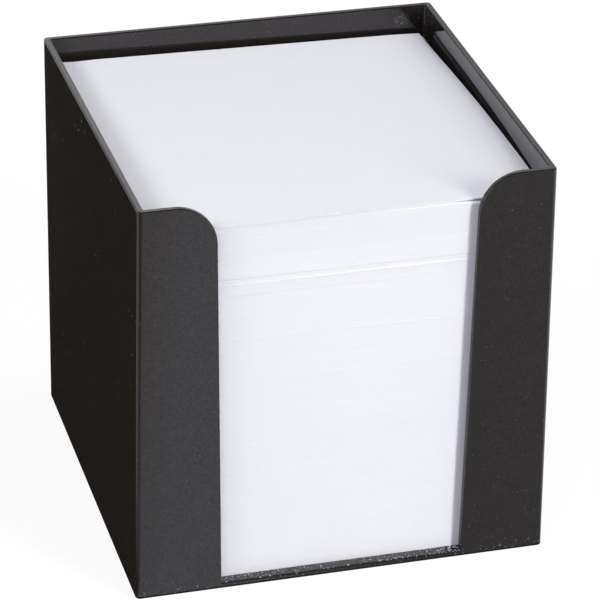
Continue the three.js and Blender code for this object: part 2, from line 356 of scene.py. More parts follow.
# %% One ring of the wall
def wall_ring(inset, z, radius):
    """A level ring of points, counterclockwise from above, set in from the leaning outer faces."""
    front = BOX_WIDTH / 2 - FRONT_LEAN * z / BOX_HEIGHT - inset - radius
    back = BOX_WIDTH / 2 - BACK_LEAN * z / BOX_HEIGHT - inset - radius
    reach = BOX_DEPTH / 2 - inset - radius
    points = []
    for corner, (x, y) in enumerate(((front, -reach), (back, reach), (-back, reach), (-front, -reach))):
        for step in range(CORNER_STEPS + 1):
            turn = (corner - 1 + step / CORNER_STEPS) * math.pi / 2
            points.append((x + radius * math.cos(turn), y + radius * math.sin(turn), z))
    return points


def round_ring(radius, z):
    """A circle with one point for each of a wall ring's points, for the mark of the injection gate."""
    count = 4 * (CORNER_STEPS + 1)
    return [(radius * math.cos(a), radius * math.sin(a), z)
            for a in (2 * math.pi * (i - CORNER_STEPS / 2) / count - math.pi / 4 for i in range(count))]


def wall_at(z):
    """The thickness of the wall at a height. It is drafted, so that the moulding slips off its core."""
    return WALL_AT_RIM + (WALL_AT_FLOOR - WALL_AT_RIM) * (1 - z / BOX_HEIGHT)


print("wall: %.2f mm at the floor, %.2f mm at the rim" % (wall_at(0), wall_at(BOX_HEIGHT)))

# %% [markdown]
# The section starts in the middle of the underside, goes out through the gate's mark, the recess and the
# foot ring, up the outer face, over the rim, down the inner face and round the fillet to the floor. The
# order of the rings is the order of that walk.

# %% The wall section, from the middle of the underside to the middle of the floor
heights = [BOX_HEIGHT * row / WALL_ROWS for row in range(WALL_ROWS + 1)]
dimple_roof = FOOT_RECESS + DIMPLE_DEPTH
fillet_top = FLOOR + FLOOR_FILLET
rings = [round_ring(GATE_STUB, dimple_roof - STUB_LENGTH), round_ring(GATE_STUB, dimple_roof),
         round_ring(GATE_DIMPLE, dimple_roof), round_ring(GATE_DIMPLE, FOOT_RECESS),
         wall_ring(FOOT_RING + FOOT_RECESS, FOOT_RECESS, OUTER_CORNER), wall_ring(FOOT_RING, 0, OUTER_CORNER)]
rings += [wall_ring(0, z, OUTER_CORNER) for z in heights]
rings += [wall_ring(wall_at(z), z, INNER_CORNER) for z in reversed(heights) if z > fillet_top]
for step in range(FILLET_STEPS + 1):
    turn = step / FILLET_STEPS * math.pi / 2
    rise, run = FLOOR_FILLET * (1 - math.sin(turn)), FLOOR_FILLET * (1 - math.cos(turn))
    rings.append(wall_ring(wall_at(fillet_top) + run, FLOOR + rise, INNER_CORNER - run))
print("rings:", len(rings), "points in each:", len(rings[0]))

# %% [markdown]
# All rings have the same number of points, so neighbours are joined by a belt of four-sided faces, and one
# flat face shuts either end. The shell is closed that way and all its faces look outwards, which the cut
# that follows needs.

# %% Sew the rings into a closed shell
def sew(rings):
    """A closed mesh through a run of rings, shut by one flat face at either end."""
    mesh = bmesh.new()
    rows = [[mesh.verts.new(point) for point in ring] for ring in rings]
    for low, high in zip(rows, rows[1:]):
        for i in range(len(low)):
            j = (i + 1) % len(low)
            mesh.faces.new((low[i], low[j], high[j], high[i]))
    mesh.faces.new(reversed(rows[0]))
    mesh.faces.new(rows[-1])
    return mesh


def as_object(mesh, name):
    """The mesh as an object, and the working copy let go."""
    data = bpy.data.meshes.new(name)
    mesh.to_mesh(data)
    mesh.free()
    return link(bpy.data.objects.new(name, data))


shell = as_object(sew(rings), "note_box_moulding")
print("shell faces:", len(shell.data.polygons))

# %% [markdown]
# The slot is narrower at the floor than at the rim, and its shoulders roll out onto the rim in a large
# radius. The cutter is that outline, drawn from the front and made thick. A Boolean with the exact solver
# cuts it cleanly.

# %% The slot cutter
CUT_BEYOND, CUT_DEPTH = 1, 3.5


def slot_outline():
    """The slot seen from the front, counterclockwise."""
    lean = math.atan2((SLOT_RIM_WIDTH - SLOT_FLOOR_WIDTH) / 2, BOX_HEIGHT - FLOOR)
    z = BOX_HEIGHT - SHOULDER
    x = SLOT_FLOOR_WIDTH / 2 + (z - FLOOR) * math.tan(lean) + SHOULDER / math.cos(lean)
    right = [(SLOT_FLOOR_WIDTH / 2, FLOOR)]
    for step in range(SHOULDER_STEPS + 1):
        turn = math.pi - lean - (math.pi / 2 - lean) * step / SHOULDER_STEPS
        right.append((x + SHOULDER * math.cos(turn), z + SHOULDER * math.sin(turn)))
    right.append((x, BOX_HEIGHT + CUT_BEYOND))
    return right + [(-a, b) for a, b in reversed(right)]


cutter = bmesh.new()
ends = [[cutter.verts.new((x, y - BOX_DEPTH / 2, z)) for x, z in slot_outline()]
        for y in (-CUT_BEYOND, CUT_DEPTH)]
for i in range(len(ends[0])):
    j = (i + 1) % len(ends[0])
    cutter.faces.new((ends[0][j], ends[0][i], ends[1][i], ends[1][j]))
cutter.faces.new(ends[0])
cutter.faces.new(reversed(ends[1]))
cutter = as_object(cutter, "slot_cutter")
print("slot at the rim, with its shoulders: %.1f mm" % max(2 * x for x, z in slot_outline()))

# %% [markdown]
# A modifier only shows what it would make. The next steps work on the mesh itself, so its result takes the
# old mesh's place at once. The helper for that serves every piece of the notebook.

# %% Cut the slot
def settle(obj):
    """Replaces the object's mesh by what its modifiers make of it, and takes the modifiers off."""
    evaluated = obj.evaluated_get(bpy.context.evaluated_depsgraph_get())
    made = bpy.data.meshes.new_from_object(evaluated)
    obj.modifiers.clear()
    obj.data = made
    return obj


cut = shell.modifiers.new("finger slot", "BOOLEAN")
cut.operation, cut.solver, cut.object = "DIFFERENCE", "EXACT", cutter
settle(shell)
bpy.data.objects.remove(cutter)
print("faces after the cut:", len(shell.data.polygons))

# %% [markdown]
# Which edges are rounded, and how much? The rim, the slot and the foot have sharp edges now, and each gets
# its own radius as a bevel weight. Inside corners and the ring of the foot stay as they are. The small flat
# facets of the corners and shoulders meet at a few degrees only, so an angle limit leaves them out.

# %% Weigh the edges
SHARP_FROM, FOOT_BAND, HAIR, MERGE_WITHIN = math.radians(40), 0.5, 0.01, 0.0005


def radius_for(edge):
    """The radius that this edge of the moulding gets, or nought."""
    if len(edge.link_faces) != 2 or not edge.is_convex or edge.calc_face_angle(0) < SHARP_FROM:
        return 0
    middle = (edge.verts[0].co + edge.verts[1].co) / 2
    outside = max(abs(middle.x) - BOX_WIDTH / 2 + FRONT_LEAN * middle.z / BOX_HEIGHT,
                  abs(middle.y) - BOX_DEPTH / 2)
    if middle.z < HAIR:
        return FOOT_ROUND if outside > -FOOT_BAND else 0
    if middle.z < FLOOR - HAIR:
        return 0
    if abs(middle.z - FLOOR) < HAIR:
        return SILL_ROUND if middle.y < -BOX_DEPTH / 2 + HAIR else 0
    return EDGE_ROUND


work = bmesh.new()
work.from_mesh(shell.data)
bmesh.ops.remove_doubles(work, verts=work.verts, dist=MERGE_WITHIN)
bmesh.ops.dissolve_degenerate(work, edges=work.edges, dist=MERGE_WITHIN)
weight = work.edges.layers.float.new("bevel_weight_edge")
for edge in work.edges:
    edge[weight] = radius_for(edge) / SILL_ROUND
print("edges to round:", sum(edge[weight] > 0 for edge in work.edges))
work.to_mesh(shell.data)
work.free()

# %% [markdown]
# The bevel reads those weights. The Boolean left faces with many sides, which shade badly, so they are cut
# up. Weighted normals then keep the large faces flat to the eye right up to their rounded edges.

# %% Round them, and smooth the shading
ROUND_STEPS, MANY_SIDES, CREASE_FROM, FLAT_WEIGHT = 4, 5, math.radians(32), 80
rounding = shell.modifiers.new("edge radii", "BEVEL")
rounding.limit_method, rounding.width, rounding.segments = "WEIGHT", SILL_ROUND, ROUND_STEPS
rounding.use_clamp_overlap = False
flatten = shell.modifiers.new("many-sided faces cut up", "TRIANGULATE")
flatten.min_vertices, flatten.ngon_method = MANY_SIDES, "BEAUTY"
settle(shell)
shell.data.transform(Matrix.Scale(MM, 4))
shell.data.shade_smooth()
shell.data.set_sharp_from_angle(angle=CREASE_FROM)
level = shell.modifiers.new("flat faces stay flat", "WEIGHTED_NORMAL")
level.keep_sharp, level.weight = True, FLAT_WEIGHT
settle(shell)


def report(obj):
    """Prints a mesh's size, and how many of its edges aren't shared by two faces."""
    check = bmesh.new()
    check.from_mesh(obj.data)
    loose = sum(len(edge.link_faces) != 2 for edge in check.edges)
    millilitres = check.calc_volume() * 1e6
    print("%s: %d faces, %.2f ml, %d open edges" % (obj.name, len(check.faces), millilitres, loose))
    check.free()


report(shell)

# %% [markdown]
# Dust lies on a face as flat specks, so its pattern needs the two directions along each face, whichever way
# the face looks. A UV map holds them, in metres. A second number on each face says whether it looks to the
# left or the right.

# %% Directions along each face
along_face = shell.data.uv_layers.new(name="along_the_face")
looks_sideways = shell.data.attributes.new("looks_sideways", "FLOAT", "FACE")
for face in shell.data.polygons:
    facing = [abs(part) for part in face.normal]
    first, second = ((1, 2), (0, 2), (0, 1))[facing.index(max(facing))]
    looks_sideways.data[face.index].value = float(facing[0] == max(facing))
    for corner in face.loop_indices:
        spot = shell.data.vertices[shell.data.loops[corner].vertex_index].co
        along_face.data[corner].uv = (spot[first], spot[second])
print("faces that look sideways:", sum(item.value > 0.5 for item in looks_sideways.data))

# %% [markdown]
# ### Black plastic
#
# The plastic is black polystyrene, smooth and with a fine shine. Looked at closely it is never even: the
# shine has a fine mottle from the mould, hands have left faint rubbed patches, and pale dust specks sit on
# it. Two kinds of pattern make all of that. Noise is soft, so it stands for clouds and mottle. Specks are
# small and sharp, and come from a cell pattern, because each cell can be told whether it holds one. The
# scale of each pattern is given per metre.

# %% Patterns for a material
def noise(tree, place, scale, detail=2.0, roughness=0.5):
    """A soft random pattern, about one over scale metres from blob to blob."""
    node = add_node(tree, "ShaderNodeTexNoise", inputs={
        "Scale": scale, "Detail": detail, "Roughness": roughness})
    tree.links.new(place, node.inputs["Vector"])
    return node.outputs[0]


def blend_colour(tree, share, first, second):
    """A mix of two colours, each a colour value or a socket."""
    node = add_node(tree, "ShaderNodeMix", data_type="RGBA")
    for socket, value in ((node.inputs[0], share), (node.inputs[6], first), (node.inputs[7], second)):
        if isinstance(value, bpy.types.NodeSocket):
            tree.links.new(value, socket)
        else:
            socket.default_value = value
    return node.outputs[2]


def specks(tree, place, scale, size, kept):
    """Small round specks, at most one in each cell of one over scale metres, in a kept share of the cells."""
    cells = add_node(tree, "ShaderNodeTexVoronoi", voronoi_dimensions="2D", inputs={
        "Scale": scale, "Randomness": 1.0})
    tree.links.new(place, cells.inputs["Vector"])
    parts = add_node(tree, "ShaderNodeSeparateColor")
    tree.links.new(cells.outputs["Color"], parts.inputs[0])
    chosen = calc(tree, "LESS_THAN", parts.outputs[0], kept)
    own_size = calc(tree, "MULTIPLY", calc(tree, "ADD", parts.outputs[1], 0.4), size)
    reach = calc(tree, "MULTIPLY", own_size, scale)
    return calc(tree, "MULTIPLY", calc(tree, "LESS_THAN", cells.outputs["Distance"], reach), chosen)


print("pattern helpers:", [helper.__name__ for helper in (noise, blend_colour, specks)])

# %% [markdown]
# Dust gathers where it can lie or where nobody wipes: on the sill, along the foot, beside the slot's right
# foot, and in the far right corner. Each of these places is a number from nought to one at every point of
# the box. Object coordinates give it, because they stay with the box from whichever side it is seen.

# %% Places on the plastic
plastic = bpy.data.materials.new("black_moulded_plastic")
tree = shader_tree(plastic)
place = add_node(tree, "ShaderNodeTexCoord").outputs["Object"]
split = add_node(tree, "ShaderNodeSeparateXYZ")
tree.links.new(place, split.inputs[0])
across, deep, high = split.outputs


def times(first, *others):
    """The product of several values."""
    for value in others:
        first = calc(tree, "MULTIPLY", first, value)
    return first


def rise(value, start, end):
    """Nought at the start, one at the end, and straight between. Both in millimetres."""
    return between(tree, value, start * MM, end * MM, 0.0, 1.0)


def near(point, reach):
    """One at a point of the box, and falling to nought at the reach. Both in millimetres."""
    gap = add_node(tree, "ShaderNodeVectorMath", operation="DISTANCE", inputs={1: Vector(point) * MM})
    tree.links.new(place, gap.inputs[0])
    return between(tree, gap.outputs["Value"], 0.0, reach * MM, 1.0, 0.0)


on_front = rise(deep, -48.1, -48.2)
low_on_front = times(rise(high, 7, 1), on_front)
low_on_right_wing = times(rise(across, 28, 31), rise(high, 70, 30), on_front)
at_slot_foot = near((28.4, -48.0, 2.0), 7.0)
in_far_corner = calc(tree, "MAXIMUM", near((40.5, 46.6, 94.0), 5.5), near((46.0, 46.5, 93.0), 5.0))
on_sill = times(rise(high, 1.35, 1.45), rise(high, 1.6, 1.52), rise(deep, -43.9, -44.0),
                rise(calc(tree, "ABSOLUTE", across), 28.2, 28.0))
above_foot = calc(tree, "GREATER_THAN", high, 0.7 * MM)
print("nodes for the places:", len(tree.nodes))

# %% [markdown]
# On the walls lie specks of two sizes, a few everywhere and more in the places above. The share of cells
# that hold one is all that changes. They follow the UV map, which lays them flat on every face. The
# photograph sees the left side at a very flat angle, where only larger and paler specks show, so the sides
# have those.

# %% Dust on the walls
on_face = add_node(tree, "ShaderNodeUVMap", uv_map="along_the_face").outputs[0]
on_side = add_node(tree, "ShaderNodeAttribute", attribute_name="looks_sideways").outputs["Fac"]
share = times(low_on_front, 0.4)
for spot, more in ((at_slot_foot, 0.6), (in_far_corner, 0.8), (low_on_right_wing, 0.12)):
    share = calc(tree, "ADD", share, times(spot, more))
speck_size = between(tree, on_side, 0.0, 1.0, 0.10 * MM, 0.17 * MM)
large_specks = specks(tree, on_face, 300, speck_size, calc(tree, "ADD", share, 0.12))
small_specks = specks(tree, on_face, 900, 0.10 * MM, calc(tree, "ADD", times(share, 0.5), 0.01))
dust = times(calc(tree, "MAXIMUM", large_specks, small_specks), above_foot)
print("nodes with the dust on the walls:", len(tree.nodes))

# %% [markdown]
# On the sill the dust is a film: very fine, thin in some places and thick in others, with coarser bits
# swept against the paper. Some bits have fallen to the foot of the front. At the slot's right foot lie
# crumbs, and between them the plastic is dull and dark. High in the far right corner is a pale bloom. The
# film's colour is bluish, a painted reflection of the paper in the glossy ledge.

# %% The film of dust
cloudy = noise(tree, place, 55, detail=4)
fine_film = times(specks(tree, on_face, 2300, 0.13 * MM, 0.45), between(tree, cloudy, 0.35, 0.6, 0.25, 0.55))
by_paper = between(tree, deep, -47.0 * MM, -45.8 * MM, 0.12, 0.5)
coarse_film = times(specks(tree, on_face, 1300, 0.16 * MM, by_paper), 0.8)
film = times(on_sill, calc(tree, "ADD", calc(tree, "MAXIMUM", fine_film, coarse_film), 0.015))

litter = noise(tree, place, 1700, detail=2)
crumb_corner = times(between(tree, near((27.2, -47.2, 1.5), 3.2), 0.1, 0.3, 0.0, 1.0), on_sill)
crumbs = times(between(tree, litter, 0.52, 0.57, 0.0, 0.9), crumb_corner)
not_dull = calc(tree, "SUBTRACT", 1.0, times(between(tree, litter, 0.5, 0.46, 0.0, 1.0), crumb_corner))
film = calc(tree, "MAXIMUM", times(film, not_dull), crumbs)

foot_line = times(rise(high, 2.4, 0.9), 0.3, on_front)
foot_bits = times(specks(tree, on_face, 1300, 0.15 * MM, foot_line), 0.26)
film = calc(tree, "MAXIMUM", film, foot_bits)
bloom = between(tree, noise(tree, place, 2600, detail=3), 0.48, 0.6, 0.0, 0.2)
film = calc(tree, "MAXIMUM", film, times(bloom, near((40.0, 46.6, 92.8), 2.4)))
film = times(film, above_foot)
print("nodes with the film of dust:", len(tree.nodes))

# %% [markdown]
# The black itself is nearly black everywhere, a little warm and cloudy. The front has the faint grey of
# rubbed plastic. Over that go the specks, which let most of the black through, and the film.

# %% Colour of the plastic
BLACK, WORN_BLACK = (0.0145, 0.0121, 0.0106, 1), (0.0170, 0.0145, 0.0130, 1)
# The film's colour is dust, tinted bluish as a painted reflection of the paper.
RUBBED, SPECK, FILM_AND_PAINTED_REFLECTION = (0.5, 0.5, 0.52, 1), (0.5, 0.49, 0.5, 1), (0.56, 0.54, 0.66, 1)
FRONT_COVER, SIDE_COVER = 0.17, 0.45
mottle = noise(tree, place, 2500, detail=3)
scuff = times(on_front, between(tree, mottle, 0.35, 0.65, 0.0, 0.013))
colour = blend_colour(tree, cloudy, BLACK, WORN_BLACK)
colour = blend_colour(tree, scuff, colour, RUBBED)
speck_cover = times(dust, between(tree, on_side, 0.0, 1.0, FRONT_COVER, SIDE_COVER))
colour = blend_colour(tree, speck_cover, colour, SPECK)
colour = blend_colour(tree, film, colour, FILM_AND_PAINTED_REFLECTION)
print("nodes with the colour:", len(tree.nodes))

# %% [markdown]
# Polystyrene bends light more than most plastics, so its IOR is 1.59. Its roughness and its gloss follow
# the clouds and the mottle, dust is matt and stands up, and the bump is a few thousandths of a millimetre
# high. Numbers that are the same all over are set on the shader's own sockets.

# %% Shine and relief of the plastic
RELIEF = 0.006 * MM
skin = add_node(tree, "ShaderNodeBsdfPrincipled", inputs={"IOR": 1.59, "Specular Tint": (0.93, 0.91, 1.0, 1)})
shine = calc(tree, "ADD", between(tree, cloudy, 0.3, 0.7, 0.06, 0.09),
             between(tree, mottle, 0.3, 0.7, -0.008, 0.008))
shine = calc(tree, "ADD", shine, times(dust, between(tree, on_side, 0.0, 1.0, 0.4, 0.12)))
gloss = times(between(tree, mottle, 0.35, 0.65, 0.43, 0.59), not_dull)
grain = noise(tree, place, 5200, detail=2)
relief = calc(tree, "ADD", times(grain, 0.5), mottle)
relief = calc(tree, "ADD", relief, times(dust, between(tree, on_side, 0.0, 1.0, 4.0, 1.5)))
bump = add_node(tree, "ShaderNodeBump", inputs={"Strength": 0.2, "Distance": RELIEF})
tree.links.new(relief, bump.inputs["Height"])
for source, socket in ((colour, "Base Color"), (shine, "Roughness"), (gloss, "Specular IOR Level"),
                       (bump.outputs[0], "Normal")):
    tree.links.new(source, skin.inputs[socket])
tree.links.new(skin.outputs[0], add_node(tree, "ShaderNodeOutputMaterial").inputs["Surface"])
shell.data.materials.clear()
shell.data.materials.append(plastic)
print("plastic nodes:", len(tree.nodes))

# %% [markdown]
# ## The paper
#
# Every sheet is 90 mm square and a tenth of a millimetre thick. A pile of them follows a rule, so Geometry
# Nodes make it: points stand one above the other, each gets a sheet, a little astray and askew, and then
# the whole pile is bent at once. The bending is a function of the place in the pile, so sheets can't cut
# through each other. One tree serves all the wads and the single notes on top, with other values in its
# inputs.
#
# The pile falls away to its front and, at the back, to its right, while its front edge is level. Its upper
# sheets curl up along the right-hand wall, and on the left they dip into a shallow valley and rise again to
# the wall.

# %% Sizes of the paper, in millimetres
SHEET, THICKNESS = 90.0, 0.1
SINGLES = ["top_note", "second_note", "third_note", "fourth_note", "fifth_note"]
LIFTS = 36
FILL_BELOW_RIM, FALL_TO_FRONT, FALL_TO_RIGHT = 6.05, 0.9, 0.8
SHEET_AIR, LIFT_SWING, LIFT_PHASE = 0.05, 0.3, 0.382
JOG = 0.135
STACK_Y = -BOX_DEPTH / 2 + WALL_AT_FLOOR + 0.7 + SHEET / 2
STACK_HEIGHT = BOX_HEIGHT - FILL_BELOW_RIM - FLOOR
SHEET_PITCH = 0.1036
print("pile of paper: %.2f mm high, %.1f mm square" % (STACK_HEIGHT, SHEET))

# %% [markdown]
# The tree is a small machine for piles. Its inputs are named, and their values come later, one set for each
# wad or note. Random numbers inside it depend on the Seed input alone, so each run gives the same pile.

# %% Inputs of the sheet tree
pile = bpy.data.node_groups.new("Pile of note sheets", "GeometryNodeTree")
pile.is_modifier = True
INPUTS = [("Sheets", "Int"), ("Cuts", "Int"), ("Sheet Width", "Float"), ("Sheet Thickness", "Float"),
          ("Lowest", "Float"), ("Height", "Float"), ("Shift X", "Float"), ("Shift Y", "Float"),
          ("Turn", "Float"), ("Stray", "Float"), ("Curl Below", "Float"), ("Curl Above", "Float"),
          ("Droop Below", "Float"), ("Droop Above", "Float"), ("Seed", "Int"), ("Paper", "Material")]
for name, kind in INPUTS:
    pile.interface.new_socket(name=name, in_out="INPUT", socket_type="NodeSocket" + kind)
pile.interface.new_socket(name="Geometry", in_out="OUTPUT", socket_type="NodeSocketGeometry")
ask = add_node(pile, "NodeGroupInput").outputs
print("inputs of the tree:", [item.name for item in pile.interface.items_tree if item.in_out == "INPUT"])

# %% [markdown]
# The front of a pile is not quite plumb. Where a sheet stands forward, its upper face catches the light as
# a white line, and where one stands back there is a dark one, best seen in the shadow beside the right
# wing. The list says from which height above the box's floor the sheets stand how far forward, read off
# those lines.

# %% Points, one for each sheet
FRONT_STEPS = [(0, 0.0), (14, -0.01), (29, 0.0), (49.4, 0.01), (50.45, -0.01), (60.45, 0.07), (60.6, -0.01),
               (71.4, -0.08), (71.5, 0.0), (73.1, -0.06), (73.2, 0.02), (74.0, 0.04), (74.3, 0.2),
               (74.46, 0.0), (74.88, -0.1), (75.0, 0.0), (75.68, -0.12), (75.8, 0.03)]


def stray(amount, seed_step, low=-1.0, high=1.0):
    """A random number for each sheet, fixed by the seed."""
    node = add_node(pile, "FunctionNodeRandomValue", data_type="FLOAT")
    node.inputs[2].default_value, node.inputs[3].default_value = low, high
    pile.links.new(calc(pile, "ADD", ask["Seed"], seed_step), node.inputs["Seed"])
    return calc(pile, "MULTIPLY", node.outputs[1], amount)


def triple(x, y, z):
    """Three values as one vector."""
    node = add_node(pile, "ShaderNodeCombineXYZ")
    for socket, value in zip(node.inputs, (x, y, z)):
        if isinstance(value, bpy.types.NodeSocket):
            pile.links.new(value, socket)
        else:
            socket.default_value = value
    return node.outputs[0]


index = add_node(pile, "GeometryNodeInputIndex").outputs[0]
pitch = calc(pile, "DIVIDE", ask["Height"], ask["Sheets"])
level_z = calc(pile, "ADD", ask["Lowest"], calc(pile, "MULTIPLY", calc(pile, "ADD", index, 0.5), pitch))
proud = 0.0
for (_, before), (height, by) in zip(FRONT_STEPS, FRONT_STEPS[1:]):
    above = calc(pile, "GREATER_THAN", level_z, height * MM)
    proud = calc(pile, "MULTIPLY_ADD", above, (by - before) * MM, proud)
x = calc(pile, "ADD", ask["Shift X"], stray(ask["Stray"], 11))
y = calc(pile, "SUBTRACT", calc(pile, "ADD", ask["Shift Y"], stray(ask["Stray"], 23)), proud)
points = add_node(pile, "GeometryNodePoints")
pile.links.new(ask["Sheets"], points.inputs["Count"])
pile.links.new(triple(x, y, level_z), points.inputs["Position"])
print("steps in the front of the pile:", len(FRONT_STEPS) - 1)

# %% [markdown]
# One thin block is the blank for all sheets. Instances of it go onto the points, each turned a little, and
# each carries a number of its own for its shade of white. Then the instances become a real mesh, because
# what comes next moves their points one by one.

# %% A sheet on each point, and its own shade of white
blank = add_node(pile, "GeometryNodeMeshCube", inputs={"Vertices Z": 2})
pile.links.new(triple(ask["Sheet Width"], ask["Sheet Width"], ask["Sheet Thickness"]), blank.inputs["Size"])
pile.links.new(ask["Cuts"], blank.inputs["Vertices X"])
pile.links.new(ask["Cuts"], blank.inputs["Vertices Y"])
lay = add_node(pile, "GeometryNodeInstanceOnPoints")
pile.links.new(points.outputs[0], lay.inputs["Points"])
pile.links.new(blank.outputs[0], lay.inputs["Instance"])
askew = calc(pile, "ADD", ask["Turn"], stray(calc(pile, "DIVIDE", ask["Stray"], ask["Sheet Width"]), 37))
turned = add_node(pile, "FunctionNodeEulerToRotation")
pile.links.new(triple(0.0, 0.0, askew), turned.inputs[0])
pile.links.new(turned.outputs[0], lay.inputs["Rotation"])
tone = add_node(pile, "GeometryNodeStoreNamedAttribute", data_type="FLOAT", domain="INSTANCE")
tone.inputs["Name"].default_value = "sheet_tone"
pile.links.new(lay.outputs[0], tone.inputs["Geometry"])
pile.links.new(stray(1.0, 53, 0.0, 1.0), tone.inputs["Value"])
real = add_node(pile, "GeometryNodeRealizeInstances")
pile.links.new(tone.outputs[0], real.inputs[0])
print("nodes up to the flat pile:", len(pile.nodes))

# %% [markdown]
# The bend has four parts. The fall of the pile is a stretch of its height that changes evenly over the
# sheet, so the bottom sheet lies flat and the top one slopes. The curl along the right wall bends up over
# some 8 mm and runs on straight to the edge, and it swells and dies away along the wall. The left margin
# dips and then climbs. A fourth bend lets the front right corner droop under the uppermost notes, which
# opens the dark gap seen there.

# %% Bend the pile
here = add_node(pile, "GeometryNodeInputPosition").outputs[0]
split = add_node(pile, "ShaderNodeSeparateXYZ")
pile.links.new(here, split.inputs[0])
px, py, pz = split.outputs
CURL_FROM, CURL_STRAIGHT, CURL_SLOPE = 34, 42, 0.129
CURL_MIDDLE, CURL_REACH, CURL_LEAST = -4, 37, -0.24
VALLEY_FROM, VALLEY_FLOOR, RISE_FROM, RISE_TO, VALLEY_SKEW = -34, -40.5, -40, -46, 0.03
LEFT_VALLEY, LEFT_RISE, FRONT_DROOP = 0.16, 0.85, 0.55
to_back = calc(pile, "ADD", calc(pile, "DIVIDE", py, SHEET * MM / 2), 1.0)
right_fall = calc(pile, "MULTIPLY", calc(pile, "MULTIPLY", px, FALL_TO_RIGHT / SHEET), to_back)
fall = calc(pile, "SUBTRACT", calc(pile, "MULTIPLY", py, FALL_TO_FRONT / SHEET), right_fall)
sloped = calc(pile, "MULTIPLY", pz, calc(pile, "ADD", calc(pile, "DIVIDE", fall, STACK_HEIGHT * MM), 1.0))


def ramp(value, start, end):
    """Nought at the start, one at the end, and straight between. Both in millimetres."""
    return between(pile, value, start * MM, end * MM, 0.0, 1.0)


bending = calc(pile, "POWER", ramp(px, CURL_FROM, CURL_STRAIGHT), 2.0)
bent = calc(pile, "MULTIPLY", bending, (CURL_STRAIGHT - CURL_FROM) / 2 * MM)
straight = calc(pile, "MAXIMUM", calc(pile, "SUBTRACT", px, CURL_STRAIGHT * MM), 0.0)
off_middle = calc(pile, "DIVIDE", calc(pile, "SUBTRACT", py, CURL_MIDDLE * MM), CURL_REACH * MM)
along = calc(pile, "SUBTRACT", 1.0, calc(pile, "MULTIPLY", off_middle, off_middle))
along = calc(pile, "MAXIMUM", along, CURL_LEAST)
right_curl = calc(pile, "MULTIPLY", calc(pile, "ADD", bent, straight), along)
right_curl = calc(pile, "MULTIPLY", right_curl, CURL_SLOPE)
valley_line = calc(pile, "ADD", px, calc(pile, "MULTIPLY", py, VALLEY_SKEW))
dip = add_node(pile, "ShaderNodeMapRange", interpolation_type="SMOOTHSTEP", inputs={
    "From Min": VALLEY_FROM * MM, "From Max": VALLEY_FLOOR * MM, "To Min": 0.0, "To Max": LEFT_VALLEY * MM})
pile.links.new(valley_line, dip.inputs["Value"])
climb = calc(pile, "POWER", ramp(valley_line, RISE_FROM, RISE_TO), 2.0)
climb = calc(pile, "MULTIPLY", climb, LEFT_RISE * MM)
shape = calc(pile, "ADD", right_curl, calc(pile, "SUBTRACT", climb, dip.outputs[0]))
droop = calc(pile, "MULTIPLY", calc(pile, "MULTIPLY", ramp(px, 25, 32), ramp(py, -34, -44)), FRONT_DROOP * MM)
print("curl at the right edge of a full sheet: %.2f mm" % (
    CURL_SLOPE * ((CURL_STRAIGHT - CURL_FROM) / 2 + SHEET / 2 - CURL_STRAIGHT)))

# %% [markdown]
# How much a wad curls and droops changes from its bottom to its top, and two inputs each say between which
# amounts. Last, the pile moves to its place in the box and gets its paper.

# %% Put the pile in its place, and give it its paper
part_way = calc(pile, "DIVIDE", calc(pile, "SUBTRACT", pz, ask["Lowest"]), ask["Height"])


def swelling(kind):
    """The amount of a bend for a point of the pile, between its two inputs for the bottom and the top."""
    gain = calc(pile, "SUBTRACT", ask[kind + " Above"], ask[kind + " Below"])
    return calc(pile, "MULTIPLY_ADD", gain, part_way, ask[kind + " Below"])


curled = calc(pile, "MULTIPLY", shape, swelling("Curl"))
drooped = calc(pile, "MULTIPLY", droop, swelling("Droop"))
high = calc(pile, "ADD", calc(pile, "SUBTRACT", calc(pile, "ADD", sloped, curled), drooped), FLOOR * MM)
bend = add_node(pile, "GeometryNodeSetPosition")
pile.links.new(real.outputs[0], bend.inputs["Geometry"])
pile.links.new(triple(px, calc(pile, "ADD", py, STACK_Y * MM), high), bend.inputs["Position"])
coat = add_node(pile, "GeometryNodeSetMaterial")
pile.links.new(bend.outputs[0], coat.inputs["Geometry"])
pile.links.new(ask["Paper"], coat.inputs["Material"])
pile.links.new(coat.outputs[0], add_node(pile, "NodeGroupOutput").inputs[0])
print("nodes in the tree:", len(pile.nodes))

# %% [markdown]
# ### White paper
#
# Uncoated note paper is a cool white without shine. Up close it has a faint cloud of fibres, and a fine
# tooth that breaks up the light. No two sheets of a pile are quite the same white, which is what draws the
# fine lines on its sides. The tree above gave each sheet a number for that, and the material reads it.

# %% White paper
DARKER_WHITE, LIGHTER_WHITE = (0.79, 0.79, 0.849, 1), (0.86, 0.86, 0.916, 1)
paper = bpy.data.materials.new("white_note_paper")
tree = shader_tree(paper)
place = add_node(tree, "ShaderNodeTexCoord").outputs["Object"]
fibres = noise(tree, place, 1500, detail=6, roughness=0.65)
clouds = noise(tree, place, 120, detail=3)
own = add_node(tree, "ShaderNodeAttribute", attribute_name="sheet_tone").outputs["Fac"]
shade = calc(tree, "ADD", calc(tree, "MULTIPLY", fibres, 0.5), calc(tree, "MULTIPLY", clouds, 0.3))
shade = calc(tree, "ADD", shade, calc(tree, "MULTIPLY", own, 0.2))
white = blend_colour(tree, shade, DARKER_WHITE, LIGHTER_WHITE)
leaf = add_node(tree, "ShaderNodeBsdfPrincipled", inputs={"Specular IOR Level": 0.3})
tree.links.new(white, leaf.inputs["Base Color"])
tree.links.new(between(tree, fibres, 0.3, 0.7, 0.82, 0.95), leaf.inputs["Roughness"])
tooth = add_node(tree, "ShaderNodeBump", inputs={"Strength": 0.25, "Distance": 0.02 * MM})
tree.links.new(fibres, tooth.inputs["Height"])
tree.links.new(tooth.outputs[0], leaf.inputs["Normal"])
tree.links.new(leaf.outputs[0], add_node(tree, "ShaderNodeOutputMaterial").inputs["Surface"])
print("paper nodes:", len(tree.nodes))

